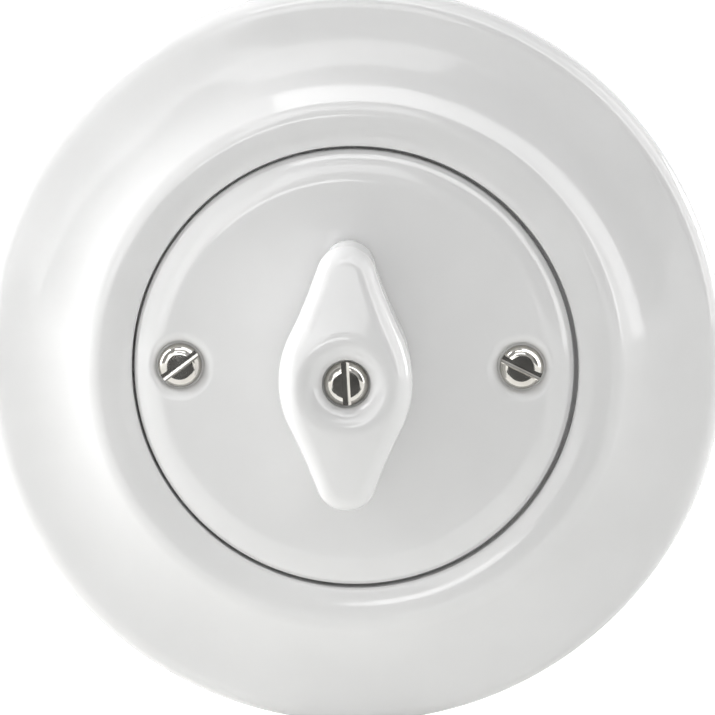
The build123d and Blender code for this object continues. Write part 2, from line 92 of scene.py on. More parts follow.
# The ogee's curves as the photo's highlights show them, within half a millimetre of the source's
BEAD_OUTER, HOLLOW, EASE = 3.6, 24.0, 19.0
OGEE_ANGLE, EASE_ANGLE = 36.5, 30.0
# As fired, the cover's rim lies right of and below its screws, and the opening off the surround's middle.
COVER_SLIP, OPENING_SLIP = (0.39, -0.43), (0.54, -0.42)
OPENING_SLIP_REACH = 12.0
# The lozenge was pressed this far left of its socket.
KNOB_SLIP = 0.15
# The screw heads' shoulders are rounder than in the source.
HEAD_ROUND = 1.35
# The hub runs into the wings more softly than in the source, and its crest stays just inside the box.
HUB_SHOULDER, CREST_CLEAR = 5.0, 0.003

# Nodes and colours


def srgb(code):
    """A colour written as a hex string, as the linear values that Blender works in."""
    parts = [int(code[i : i + 2], 16) / 255 for i in (1, 3, 5)]
    return tuple(c / 12.92 if c <= 0.04045 else ((c + 0.055) / 1.055) ** 2.4 for c in parts) + (1.0,)


def node(tree, kind, fed=None, **settings):
    """Adds a node. Settings name its properties or sockets. A socket is fed a value, an output or a node."""
    made = tree.nodes.new(kind)
    for name, value in settings.items():
        if hasattr(made, name):
            setattr(made, name, value)
        else:
            made.inputs[name.replace("_", " ")].default_value = value
    for socket, source in (fed or {}).items():
        if isinstance(source, bpy.types.Node):
            source = source.outputs[0]
        if isinstance(source, bpy.types.NodeSocket):
            tree.links.new(source, made.inputs[socket])
        else:
            made.inputs[socket].default_value = source
    return made


def new_material(name):
    """A node material with an empty Principled shader, and that shader."""
    made = bpy.data.materials.new(name)
    made.use_nodes = True
    return made, made.node_tree, made.node_tree.nodes["Principled BSDF"]


def shade(shader, **settings):
    """Sets the shader's own sockets."""
    for name, value in settings.items():
        shader.inputs[name.replace("_", " ")].default_value = value


def mottled(tree, shader, place, dark, light, size, detail=3.0):
    """Lets the base colour wander between two colours at a real size in millimetres."""
    noise = node(tree, "ShaderNodeTexNoise", {"Vector": place}, Scale=1 / (size * MM), Detail=detail)
    ramp = node(tree, "ShaderNodeValToRGB", {"Fac": noise})
    for stop, position, colour in zip(ramp.color_ramp.elements, (0.35, 0.65), (dark, light)):
        stop.position = position
        stop.color = srgb(colour)
    tree.links.new(ramp.outputs["Color"], shader.inputs["Base Color"])
    return noise


def bumped(tree, shader, height, depth, strength=1.0):
    """Turns a height of 0 to 1 into relief of a real depth in millimetres."""
    bump = node(tree, "ShaderNodeBump", {"Height": height}, Distance=depth * MM, Strength=strength)
    tree.links.new(bump.outputs["Normal"], shader.inputs["Normal"])


def varied_roughness(tree, shader, source, low, high):
    """Lets the roughness follow a pattern between two values."""
    spread = node(tree, "ShaderNodeMapRange", {"Value": source}, To_Min=low, To_Max=high)
    tree.links.new(spread.outputs["Result"], shader.inputs["Roughness"])


# Materials


def glazed_porcelain():
    """Hard white porcelain under a clear fired glaze: sharp reflections that ripple a little."""
    made, tree, shader = new_material("glazed_porcelain")
    place = node(tree, "ShaderNodeTexCoord").outputs["Object"]
    mottled(tree, shader, place, "#E8E8E8", "#ECECEC", size=18)
    # The glaze pools and thins in soft waves a few millimetres apart.
    waves = node(tree, "ShaderNodeTexNoise", {"Vector": place}, Scale=1 / (6.5 * MM), Detail=1.0)
    bumped(tree, shader, waves, depth=0.035)
    film = node(tree, "ShaderNodeTexNoise", {"Vector": place}, Scale=1 / (4 * MM), Detail=4.0)
    varied_roughness(tree, shader, film, low=0.07, high=0.12)
    shade(shader, IOR=1.5)
    return made


def plated_metal(name, dark, light, low, high):
    """Plated metal: an even mirror-like skin with faint clouding, and the lathe's rings on turned faces."""
    made, tree, shader = new_material(name)
    place = node(tree, "ShaderNodeTexCoord").outputs["Object"]
    cloud = mottled(tree, shader, place, dark, light, size=2.2)
    varied_roughness(tree, shader, cloud, low, high)
    shade(shader, Metallic=1.0)
    # Real turning rings are near 0.05 mm apart. These are drawn coarser, so that they show.
    ring_spacing = 0.16
    own = node(tree, "ShaderNodeAttribute", attribute_name="turning").outputs["Vector"]
    flat = node(tree, "ShaderNodeVectorMath", {0: own, 1: (1, 1, 0)}, operation="MULTIPLY")
    away = node(tree, "ShaderNodeVectorMath", {0: flat}, operation="LENGTH").outputs["Value"]
    count = node(tree, "ShaderNodeMath", {0: away, 1: 2 * pi / ring_spacing}, operation="MULTIPLY")
    rings = node(tree, "ShaderNodeMath", {0: count}, operation="SINE")
    bumped(tree, shader, rings, depth=0.002, strength=0.35)
    return made


def rolled_metal(name, dark, light, low, high, line):
    """Rolled or drawn metal: fine lines along one direction, a real width in millimetres apart."""
    made, tree, shader = new_material(name)
    place = node(tree, "ShaderNodeTexCoord").outputs["Object"]
    stretched = node(tree, "ShaderNodeMapping", {"Vector": place}, Scale=(1.0, 1.0, 0.04))
    grain = mottled(tree, shader, stretched, dark, light, size=line)
    varied_roughness(tree, shader, grain, low, high)
    bumped(tree, shader, grain, depth=0.004)
    shade(shader, Metallic=1.0)
    return made


def zinc_plated_steel():
    """Stamped sheet steel with bright zinc: a bluish grey, clouded, with a fine pressed grain."""
    made, tree, shader = new_material("zinc_plated_steel")
    place = node(tree, "ShaderNodeTexCoord").outputs["Object"]
    cloud = mottled(tree, shader, place, "#A9AEB4", "#C3C7CA", size=5)
    grain = node(tree, "ShaderNodeTexNoise", {"Vector": place}, Scale=1 / (0.6 * MM), Detail=5.0)
    varied_roughness(tree, shader, cloud, low=0.26, high=0.42)
    bumped(tree, shader, grain, depth=0.006)
    shade(shader, Metallic=1.0)
    return made


def unglazed_steatite():
    """Pressed and fired base ceramic: cream white, dull, with fine dark grains and a dry, rough skin."""
    made, tree, shader = new_material("unglazed_steatite")
    place = node(tree, "ShaderNodeTexCoord").outputs["Object"]
    mottled(tree, shader, place, "#CDC5B4", "#DAD4C6", size=8)
    grain = node(tree, "ShaderNodeTexNoise", {"Vector": place}, Scale=1 / (0.5 * MM), Detail=4.0)
    bumped(tree, shader, grain, depth=0.03)
    varied_roughness(tree, shader, grain, low=0.62, high=0.82)
    return made


def moulded_phenolic(name, dark, light):
    """Moulded phenolic: dark, with a slight flow marbling and a satin skin from the mould."""
    made, tree, shader = new_material(name)
    place = node(tree, "ShaderNodeTexCoord").outputs["Object"]
    flow = mottled(tree, shader, place, dark, light, size=3, detail=6.0)
    varied_roughness(tree, shader, flow, low=0.3, high=0.45)
    grain = node(tree, "ShaderNodeTexNoise", {"Vector": place}, Scale=1 / (0.7 * MM), Detail=2.0)
    bumped(tree, shader, grain, depth=0.006)
    return made


def hard_paper():
    """Laminated phenolic paper: brown, with fibres in the sheet and a half-dull pressed face."""
    made, tree, shader = new_material("hard_paper")
    place = node(tree, "ShaderNodeTexCoord").outputs["Object"]
    along = node(tree, "ShaderNodeMapping", {"Vector": place}, Scale=(0.15, 1.0, 1.0))
    fibres = mottled(tree, shader, along, "#5A3820", "#7C5230", size=0.9, detail=5.0)
    varied_roughness(tree, shader, fibres, low=0.4, high=0.58)
    bumped(tree, shader, fibres, depth=0.01)
    return made


FINISHES = {
    "porcelain": glazed_porcelain(),
    "nickel": plated_metal("nickel_plated_steel", "#BDBAB4", "#CBC9C4", low=0.08, high=0.15),
    "zinc_plated_steel": zinc_plated_steel(),
    "spring_steel": rolled_metal("blued_spring_steel", "#3F434D", "#575B66", low=0.24, high=0.36, line=0.4),
    "base_ceramic": unglazed_steatite(),
    "cam_plastic": moulded_phenolic("black_phenolic", "#161414", "#221F1E"),
    "rotor_plastic": moulded_phenolic("brown_phenolic", "#35190E", "#4A2616"),
    "hard_paper": hard_paper(),
    "brass": rolled_metal("drawn_brass", "#B4893C", "#CDA758", low=0.22, high=0.36, line=0.5),
    "nickel_brass": plated_metal("nickel_plated_brass", "#B9B5AC", "#C8C4BC", low=0.18, high=0.28),
    "bronze": rolled_metal("rolled_bronze", "#A56F47", "#BF8A5E", low=0.22, high=0.34, line=0.4),
}


# Outlines


def arc(centre_x, centre_y, radius, start, end, steps):
    """Points of an arc between two angles in degrees."""
    return [
        (centre_x + radius * cos(radians(a)), centre_y + radius * sin(radians(a)))
        for a in np.linspace(start, end, steps + 1)
    ]


def rounded(corners, step=6.0):
    """The points of a closed outline of (x, y, radius) corners, with one every few degrees of each round."""
    straight = radians(89.9)
    points = []
    for i, (x, y, radius) in enumerate(corners):
        here = Vector((x, y))
        back = (Vector(corners[i - 1][:2]) - here).normalized()
        on = (Vector(corners[(i + 1) % len(corners)][:2]) - here).normalized()
        half = acos(max(-1.0, min(1.0, back.dot(on)))) / 2
        if radius == 0 or half > straight:
            points.append((x, y))
            continue
        centre = here + (back + on).normalized() * (radius / sin(half))
        first = here + back * (radius / tan(half)) - centre
        last = here + on * (radius / tan(half)) - centre
        turn = atan2(first.x * last.y - first.y * last.x, first.dot(last))
        count = max(2, ceil(abs(degrees(turn)) / step))
        for k in range(count + 1):
            points.append(tuple(centre + Matrix.Rotation(turn * k / count, 2) @ first))
    return points


def gentle(share):
    """Runs from 0 to 1 with soft ends, and stays level outside them."""
    share = min(1.0, max(0.0, share))
    return share * share * (3 - 2 * share)


# Meshes


def put(name, mesh, body, slot, replaced=(), sharp=35.0, upright=True):
    """Shows a mesh that is drawn in millimetres as a piece that rides on a body."""
    if upright:
        mesh.transform(UPRIGHT)
    if sharp:
        mesh.polygons.foreach_set("use_smooth", [True] * len(mesh.polygons))
        mesh.set_sharp_from_angle(angle=radians(sharp))
    mesh.materials.clear()
    mesh.materials.append(FINISHES[slot])
    piece = bpy.data.objects.new(name, mesh)
    bpy.context.scene.collection.objects.link(piece)
    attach(piece, body)
    if replaced:
        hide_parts(*replaced)
    return piece


def tidy(mesh, distance=1e-4):
    """Merges what coincides and turns the faces outwards."""
    shape = bmesh.new()
    shape.from_mesh(mesh)
    bmesh.ops.remove_doubles(shape, verts=shape.verts, dist=distance)
    bmesh.ops.dissolve_degenerate(shape, edges=shape.edges, dist=distance)
    bmesh.ops.delete(shape, geom=[edge for edge in shape.edges if not edge.link_faces], context="EDGES")
    bmesh.ops.recalc_face_normals(shape, faces=shape.faces)
    shape.to_mesh(mesh)
    shape.free()
    return mesh


def ring_faces(first, rings, count, closed=False):
    """Quads between rings of vertices that are numbered one ring after another."""
    faces = []
    for row in range(rings if closed else rings - 1):
        low, high = first + row * count, first + (row + 1) % rings * count
        faces += [(low + k, low + (k + 1) % count, high + (k + 1) % count, high + k) for k in range(count)]
    return faces


def circle(radius, height, count, centre=(0.0, 0.0)):
    """Points of a level circle."""
    angles = np.linspace(0, 2 * pi, count, endpoint=False)
    return [(centre[0] + radius * cos(a), centre[1] + radius * sin(a), height) for a in angles]


def ringed(name, rings):
    """A mesh whose skin runs from ring to ring, and from the last one back to the first."""
    mesh = bpy.data.meshes.new(name)
    vertices = [tuple(point) for ring in rings for point in ring]
    mesh.from_pydata(vertices, [], ring_faces(0, len(rings), len(rings[0]), closed=True))
    return tidy(mesh)


def outline_object(name, points):
    """A curve object that holds a closed outline of (radius, height) points, drawn as x and y."""
    curve = bpy.data.curves.new(name, "CURVE")
    curve.dimensions = "3D"
    spline = curve.splines.new("POLY")
    spline.points.add(len(points) - 1)
    for point, (x, y) in zip(spline.points, points):
        point.co = (x, -y, 0, 1)  # Curve to Mesh lays a profile's y along -z
    spline.use_cyclic_u = True
    made = bpy.data.objects.new(name, curve)
    bpy.context.scene.collection.objects.link(made)
    return made


def new_tree(name, **sizes):
    """A geometry tree with one shape in, one shape out and named sizes."""
    tree = bpy.data.node_groups.new(name, "GeometryNodeTree")
    tree.interface.new_socket("Geometry", in_out="INPUT", socket_type="NodeSocketGeometry")
    tree.interface.new_socket("Geometry", in_out="OUTPUT", socket_type="NodeSocketGeometry")
    for label, kind in sizes.items():
        tree.interface.new_socket(label, in_out="INPUT", socket_type="NodeSocket" + kind)
    return tree, node(tree, "NodeGroupInput").outputs


def finish_tree(tree, geometry, material):
    """Ends a tree: what it repeats is made real and gets its material."""
    real = node(tree, "GeometryNodeRealizeInstances", {"Geometry": geometry})
    skin = node(tree, "GeometryNodeSetMaterial", {"Geometry": real, "Material": material})
    node(tree, "NodeGroupOutput", {"Geometry": skin})


def plain_mesh(source):
    """The evaluated shape of an object as a plain mesh. The object is removed."""
    bpy.context.view_layer.update()
    mesh = bpy.data.meshes.new_from_object(source.evaluated_get(bpy.context.evaluated_depsgraph_get()))
    bpy.data.objects.remove(source)
    return mesh


def grown(source, tree, **sizes):
    """Runs a tree on an object, and gives back the result as a plain mesh."""
    modifier = source.modifiers.new("grow", "NODES")
    modifier.node_group = tree
    for item in tree.interface.items_tree:
        if item.in_out == "INPUT" and item.name in sizes:
            modifier[item.identifier] = sizes[item.name]
    return plain_mesh(source)


TURNING_RADIUS = 1.0  # of the circle that the tree sweeps an outline along


def threaded(tree, given, geometry, place, parts):
    """Moves the points below the thread's top inwards, by how far up and round each of them lies."""
    angle = node(tree, "ShaderNodeMath", {0: parts["Y"], 1: parts["X"]}, operation="ARCTAN2")
    turn = node(tree, "ShaderNodeMath", {0: angle, 1: 2 * pi}, operation="DIVIDE")
    rise = node(tree, "ShaderNodeMath", {0: parts["Z"], 1: given["Pitch"]}, operation="DIVIDE")
    phase = node(tree, "ShaderNodeMath", {0: rise, 1: turn}, operation="ADD")
    tooth = node(tree, "ShaderNodeMath", {0: phase, 1: 0.5}, operation="PINGPONG")
    depth = node(tree, "ShaderNodeMath", {0: tooth, 1: given["Thread_Depth"]}, operation="MULTIPLY")
    below = node(tree, "ShaderNodeMath", {0: parts["Z"], 1: given["Thread_Top"]}, operation="LESS_THAN")
    inward = node(tree, "ShaderNodeMath", {0: depth, 1: below}, operation="MULTIPLY")
    level = node(tree, "ShaderNodeVectorMath", {0: place, 1: (-1, -1, 0)}, operation="MULTIPLY")
    unit = node(tree, "ShaderNodeVectorMath", {0: level}, operation="NORMALIZE")
    move = node(tree, "ShaderNodeVectorMath", {0: unit, "Scale": inward}, operation="SCALE")
    return node(tree, "GeometryNodeSetPosition", {"Geometry": geometry, "Offset": move})


def saw_blade(tree, given, parts):
    """The block that saws a slot. It is worn: the floor is level on one side and hollow on the other."""
    length, points_across, wear = 40.0, 11, 0.55
    half_depth = 0.4999  # a hair under half, so that the block stands just over the head
    sides = {"X": length, "Y": given["Slot_Width"], "Z": given["Slot_Depth"]}
    size = node(tree, "ShaderNodeCombineXYZ", sides)
    blade = node(tree, "GeometryNodeMeshCube", {"Size": size}, Vertices_Y=points_across)
    across = node(tree, "ShaderNodeMath", {0: parts["Y"], 1: given["Slot_Width"]}, operation="DIVIDE")
    side = node(tree, "ShaderNodeMath", {0: across, 1: 0.0}, operation="MINIMUM")
    bow = node(tree, "ShaderNodeMath", {0: side, 1: side}, operation="MULTIPLY")
    lift = node(tree, "ShaderNodeMath", {0: bow, 1: given["Slot_Width"]}, operation="MULTIPLY")
    under = node(tree, "ShaderNodeMath", {0: parts["Z"], 1: 0.0}, operation="LESS_THAN")
    raised = node(tree, "ShaderNodeMath", {0: lift, 1: under}, operation="MULTIPLY")
    shallow = node(tree, "ShaderNodeMath", {0: raised, 1: wear}, operation="MULTIPLY")
    upward = node(tree, "ShaderNodeCombineXYZ", {"Z": shallow})
    saw = node(tree, "GeometryNodeSetPosition", {"Geometry": blade, "Offset": upward})
    half = node(tree, "ShaderNodeMath", {0: given["Slot_Depth"], 1: half_depth}, operation="MULTIPLY")
    low = node(tree, "ShaderNodeMath", {0: given["Top"], 1: half}, operation="SUBTRACT")
    there = node(tree, "ShaderNodeCombineXYZ", {"Z": low})
    swing = node(tree, "ShaderNodeCombineXYZ", {"Z": given["Slot_Angle"]})
    return node(tree, "GeometryNodeTransform", {"Geometry": saw, "Translation": there, "Rotation": swing})


def turning_tree():
    """Turns an outline about z, cuts a thread into it below a height, and saws a slot across its top."""
    sizes = ("Pitch", "Thread_Depth", "Thread_Top", "Slot_Width", "Slot_Depth", "Slot_Angle", "Top")
    tree, given = new_tree("turned_piece", Segments="Int", **dict.fromkeys(sizes, "Float"), Skin="Material")
    way_round = {"Resolution": given["Segments"], "Radius": TURNING_RADIUS}
    path = node(tree, "GeometryNodeCurvePrimitiveCircle", way_round)
    skin = node(tree, "GeometryNodeCurveToMesh", {"Curve": path, "Profile Curve": given["Geometry"]})
    whole = node(tree, "GeometryNodeMergeByDistance", {"Geometry": skin}, Distance=1e-4)
    place = node(tree, "GeometryNodeInputPosition").outputs["Position"]
    parts = node(tree, "ShaderNodeSeparateXYZ", {"Vector": place}).outputs
    cut = threaded(tree, given, whole, place, parts)
    sawn = node(tree, "GeometryNodeMeshBoolean", operation="DIFFERENCE")
    tree.links.new(cut.outputs["Geometry"], sawn.inputs["Mesh 1"])
    tree.links.new(saw_blade(tree, given, parts).outputs["Geometry"], sawn.inputs["Mesh 2"])
    slotted = node(tree, "FunctionNodeCompare", {"A": given["Slot_Width"]}, B=1e-6)
    which = node(tree, "GeometryNodeSwitch", {"Switch": slotted}, input_type="GEOMETRY")
    tree.links.new(cut.outputs["Geometry"], which.inputs["False"])
    tree.links.new(sawn.outputs["Mesh"], which.inputs["True"])
    # The turned faces keep their own places for the lathe's rings.
    own = node(tree, "GeometryNodeStoreNamedAttribute", {"Geometry": which}, data_type="FLOAT_VECTOR")
    own.inputs["Name"].default_value = "turning"
    tree.links.new(place, own.inputs["Value"])
    finish_tree(tree, own, given["Skin"])
    return tree


TURNING = turning_tree()


def turned(name, outline, segments, slot, **sizes):
    """A turned piece in millimetres from its (radius, height) outline."""
    source = outline_object(name, [(r - TURNING_RADIUS, h) for r, h in outline])
    chosen = {"Segments": segments, "Pitch": 1.0, "Thread_Depth": 0.0, "Skin": FINISHES[slot]}
    chosen.update(sizes)
    return tidy(grown(source, TURNING, **chosen))


# Porcelain


def surround_outline():
    """The moulding's section, from the opening's edge over the bead and down the ogee to the foot."""
    edge_room = 2.5  # degrees of the bead, left to the round at the opening's edge
    edge_turn = degrees(asin((CREST_RADIUS - OPENING_RADIUS) / BEAD_INNER))
    front = arc(CREST_RADIUS, CREST_HEIGHT - BEAD_INNER, BEAD_INNER, 90 + edge_turn - edge_room, 90, 14)
    front += arc(CREST_RADIUS, CREST_HEIGHT - BEAD_OUTER, BEAD_OUTER, 90, 90 - OGEE_ANGLE, 18)[1:]
    x, y = front[-1]
    hollow_back = (x - SURROUND_WALL * sin(radians(OGEE_ANGLE)), y - SURROUND_WALL, 1.2)
    curves = ((HOLLOW, OGEE_ANGLE, EASE_ANGLE, 14), (EASE, EASE_ANGLE, FLANGE_ANGLE, 8))
    for radius, start, end, steps in curves:
        x, y = front[-1]
        centre = x + radius * sin(radians(start)), y + radius * cos(radians(start))
        front += arc(*centre, radius, 270 - start, 270 - end, steps)[1:]
    x, y = front[-1]
    fall = tan(radians(FLANGE_ANGLE))
    front += [(x + out, y - out * fall) for out in (0.5, 1.0, 1.5, 2.0)]
    rim = y - (SURROUND_RADIUS - x) * fall
    edge = CREST_HEIGHT - BEAD_INNER * (1 - cos(radians(edge_turn)))
    # Each corner's third value is the radius of its round.
    inside = [
        (SURROUND_RADIUS, rim, RIM_CURVE),
        (SURROUND_RADIUS, 0, 0.6),
        (SURROUND_RADIUS - FOOT_WIDTH, 0, 0.25),
        (x, rim - FLANGE_WALL, 1.0),
        hollow_back,
        (OPENING_RADIUS + SURROUND_WALL, CREST_HEIGHT - SURROUND_WALL, 0.8),
        (OPENING_RADIUS + 2.5, LEDGE_HEIGHT - LEDGE_THICKNESS, 0.3),
        (LEDGE_RADIUS, LEDGE_HEIGHT - LEDGE_THICKNESS, 0.2),
        (LEDGE_RADIUS, LEDGE_HEIGHT, 0.2),
        (OPENING_RADIUS, LEDGE_HEIGHT, 0.2),
        (OPENING_RADIUS, edge, 0.5),
    ]
    return rounded([(px, py, 0) for px, py in front] + inside)


def surround_mesh():
    """The turned moulding, with its opening a little off the middle, as fired porcelain warps."""
    # This many segments keep the piece under 200,000 triangles.
    mesh = turned("surround_glazed", surround_outline(), segments=448, slot="porcelain", Slot_Width=0.0)
    inner_edge = OPENING_RADIUS - 0.21
    for vertex in mesh.vertices:
        radius = hypot(vertex.co.x, vertex.co.y)
        if radius > inner_edge:
            share = gentle((SURROUND_RADIUS - radius) / OPENING_SLIP_REACH)
            vertex.co.x += OPENING_SLIP[0] * share
            vertex.co.y += OPENING_SLIP[1] * share
    return mesh


DIMPLE_SLOPE = atan2(COVER_FACE - SCREW_SEAT, DIMPLE_MOUTH - DIMPLE_SEAT)
LIP_REACH = DIMPLE_LIP * tan(DIMPLE_SLOPE / 2)
LIP_START, LIP_END = DIMPLE_MOUTH - LIP_REACH * cos(DIMPLE_SLOPE), DIMPLE_MOUTH + LIP_REACH


def from_screws(x, y):
    """The distance from the nearer cover screw's axis."""
    return min(hypot(x - SCREW_X, y), hypot(x + SCREW_X, y))


def dimple_profile(away):
    """The cover's height near a screw, by the distance from the screw's axis, where the face is flat."""
    if away >= LIP_END:
        return COVER_FACE
    if away >= LIP_START:
        return COVER_FACE - DIMPLE_LIP + sqrt(max(0.0, DIMPLE_LIP**2 - (LIP_END - away) ** 2))
    if away >= DIMPLE_SEAT:
        return SCREW_SEAT + (away - DIMPLE_SEAT) * tan(DIMPLE_SLOPE)
    return SCREW_SEAT


def shoulder_profile(radius):
    """The cover's height by the distance from its middle, without the dimples."""
    width = COVER_RADIUS - SHOULDER_RADIUS
    curve = (width**2 + SHOULDER_DROP**2) / (2 * SHOULDER_DROP)
    beyond = max(0.0, radius - SHOULDER_RADIUS)
    return COVER_FACE - curve + sqrt(curve**2 - beyond**2)


def cover_height(x, y):
    """The cover's front, dimples and shoulder together."""
    away = from_screws(x, y)
    share = gentle((away - DIMPLE_SEAT) / (LIP_END - DIMPLE_SEAT))
    drop = COVER_FACE - shoulder_profile(hypot(x - COVER_SLIP[0], y - COVER_SLIP[1]))
    return dimple_profile(away) - drop * share


def lifted(points, keep, height):
    """Joins level points into triangles, keeps those whose middles pass a test, and lifts them."""
    flat = [Vector(point[:2]) for point in points]
    made = delaunay_2d_cdt(flat, [], [], 0, 1e-6)
    vertices = [(p.x, p.y, height(p.x, p.y)) for p in made[0]]
    faces = []
    for face in made[2]:
        middle = sum((made[0][k] for k in face), Vector((0, 0))) / len(face)
        if keep(middle.x, middle.y):
            faces.append(face)
    return vertices, faces


NET_AROUND, NET_ROUND_SCREW = 360, 90  # points on a ring about the cover's middle, and on one about a screw
NET_SLIPS = 20.0  # the rings outside this radius are denser and follow the rim's slip
NET_END = 28.0  # outside this one the cover is plain rings
HOLE_LIP = 0.35


def front_net():
    """Level points for the cover's front: rings about the screws, dense on their lips, and about the axis."""
    near = [SCREW_PASSAGE, 2.3, 2.9, DIMPLE_SEAT]
    near += [LIP_END - DIMPLE_LIP * sin(DIMPLE_SLOPE * k / 16) for k in range(16, -1, -1)] + [5.1, 5.6]
    clear_of_near = near[-1] + 0.15
    points = []
    for side in (-1, 1):
        for away in near:
            points += circle(away, 0, NET_ROUND_SCREW, (side * SCREW_X, 0))
    rings = [COVER_HOLE + d for d in (0, 0.03, 0.1, 0.2, 0.3, 0.36, 0.8)]
    rings += [7, 8.5, 10, 12, 14, 16, 18, 20, 22, 23.5, 24.6]
    rings += [25.0, 25.2, 25.5, 25.8, 26.2, 26.6, 27.0, 27.4, 27.7]
    for radius in rings:
        dense = radius > NET_SLIPS or radius < COVER_HOLE + 0.5
        count = NET_AROUND if dense else NET_AROUND // 2
        ring = circle(radius, 0, count, COVER_SLIP if radius > NET_SLIPS else (0, 0))
        points += [point for point in ring if from_screws(*point[:2]) > clear_of_near]
    return points + circle(NET_END, 0, NET_AROUND, COVER_SLIP)


def cover_mesh():
    """The cap with its dimples. The front is lifted from a net of points that is dense round the screws."""

    def front_height(x, y):
        inward = COVER_HOLE + HOLE_LIP - hypot(x, y)
        drop = HOLE_LIP - sqrt(max(0.0, HOLE_LIP**2 - inward**2)) if inward > 0 else 0.0
        return cover_height(x, y) - drop

    def on_front(x, y):
        return hypot(x, y) > COVER_HOLE and from_screws(x, y) > SCREW_PASSAGE

    vertices, faces = lifted(front_net(), on_front, front_height)
    back_points = circle(COVER_RIM_INSIDE, 0, NET_AROUND) + circle(COVER_HOLE, 0, NET_AROUND)
    for side in (-1, 1):
        back_points += circle(SCREW_PASSAGE, 0, NET_ROUND_SCREW, (side * SCREW_X, 0))
    back, back_faces = lifted(back_points, on_front, lambda x, y: COVER_UNDERSIDE)
    faces += [[k + len(vertices) for k in face] for face in back_faces]
    vertices += back
    # The cover's side: the end of the shoulder, the edge, the foot on the ledge, and up inside the rim.
    side_line = [(r, shoulder_profile(r)) for r in (NET_END, 28.3, 28.6, 28.85)]
    side_line += [(29.02, 10.03), (29.16, 9.88), (29.27, 9.73), (29.35, 9.56), (29.39, 9.38)]
    side_line += [(COVER_RADIUS, COVER_FACE - SHOULDER_DROP - 0.8), (COVER_RADIUS, 7.2), (29.35, 7.08)]
    side_line += [(29.2, LEDGE_HEIGHT), (COVER_RIM_INSIDE + 0.2, LEDGE_HEIGHT)]
    side_line += [(COVER_RIM_INSIDE, 7.2), (COVER_RIM_INSIDE, COVER_UNDERSIDE)]
    # Inside, the rim stays where the posts leave room for it.
    slipping = COVER_RIM_INSIDE + 0.1
    walls = [[circle(r, h, NET_AROUND, COVER_SLIP if r > slipping else (0, 0)) for r, h in side_line]]
    walls.append([circle(COVER_HOLE, h, NET_AROUND) for h in (COVER_UNDERSIDE, COVER_FACE - HOLE_LIP)])
    for side in (-1, 1):
        hole = (side * SCREW_X, 0)
        walls.append([circle(SCREW_PASSAGE, h, NET_ROUND_SCREW, hole) for h in (COVER_UNDERSIDE, SCREW_SEAT)])
    for wall in walls:
        faces += ring_faces(len(vertices), len(wall), len(wall[0]))
        vertices += [point for ring in wall for point in ring]
    mesh = bpy.data.meshes.new("cover_plate_glazed")
    mesh.from_pydata(vertices, [], faces)
    return tidy(mesh, distance=2e-3)


def smooth_front(piece, height, inner, outer):
    """Gives the faces of a lifted front the exact slope of its height, so that its gloss has no facets."""
    mesh = piece.data
    corners = np.zeros(len(mesh.loops) * 3)
    mesh.corner_normals.foreach_get("vector", corners)
    corners = corners.reshape(-1, 3)
    step, tolerance, facing_room = 0.01, 0.02, -0.3
    for polygon in mesh.polygons:
        if polygon.normal.y > facing_room:
            continue
        for index in polygon.loop_indices:
            place = mesh.vertices[mesh.loops[index].vertex_index].co / MM
            x, y, z = place.x, place.z, -place.y
            if not inner < hypot(x, y) < outer or abs(z - height(x, y)) > tolerance:
                continue
            middle = polygon.center / MM
            inward = Vector((middle.x - x, middle.z - y)).normalized() * step
            x, y = x + inward.x, y + inward.y
            slope_x = (height(x + step, y) - height(x - step, y)) / (2 * step)
            slope_y = (height(x, y + step) - height(x, y - step)) / (2 * step)
            corners[index] = Vector((-slope_x, -1.0, -slope_y)).normalized()
    mesh.normals_split_custom_set(corners.tolist())


def lozenge(count):
    """Points and outward directions round the knob's base outline, closer where it turns more."""
    side_centre = Vector((KNOB_HALF_WIDTH - KNOB_SIDE, 0))
    tip_centre = Vector((0, KNOB_HALF_LENGTH - KNOB_TIP))
    span = tip_centre - side_centre
    to_side, to_tip = KNOB_SIDE + KNOB_FLANK, KNOB_TIP + KNOB_FLANK
    along = (to_side**2 - to_tip**2 + span.length**2) / (2 * span.length)
    across = sqrt(to_side**2 - along**2)
    forward = span.normalized()
    flank_centre = side_centre + forward * along + Vector((forward.y, -forward.x)) * across
    widest, farthest = Vector((KNOB_HALF_WIDTH, 0)), Vector((0, KNOB_HALF_LENGTH))
    side_end = side_centre + (flank_centre - side_centre).normalized() * KNOB_SIDE
    tip_end = tip_centre + (flank_centre - tip_centre).normalized() * KNOB_TIP
    quarter = []
    for share, centre, radius, sense, start, end in (
        (0.28, side_centre, KNOB_SIDE, 1, widest, side_end),
        (0.44, flank_centre, KNOB_FLANK, -1, side_end, tip_end),
        (0.28, tip_centre, KNOB_TIP, 1, tip_end, farthest),
    ):
        first, last = start - centre, end - centre
        a, b = atan2(first.y, first.x), atan2(last.y, last.x)
        if abs(b - a) > pi:
            a += 2 * pi if a < 0 else 0
            b += 2 * pi if b < 0 else 0
        steps = round(count / 4 * share)
        for k in range(steps):
            angle = a + (b - a) * k / steps
            ray = Vector((cos(angle), sin(angle)))
            quarter.append((centre + ray * radius, ray * sense))
    quarter.append((farthest, Vector((0, 1))))

    def mirrored(items, mx, my):
        return [(Vector((p.x * mx, p.y * my)), Vector((n.x * mx, n.y * my))) for p, n in items]

    ring = quarter[:-1] + mirrored(quarter[:0:-1], -1, 1)
    return ring + mirrored(ring, -1, -1)


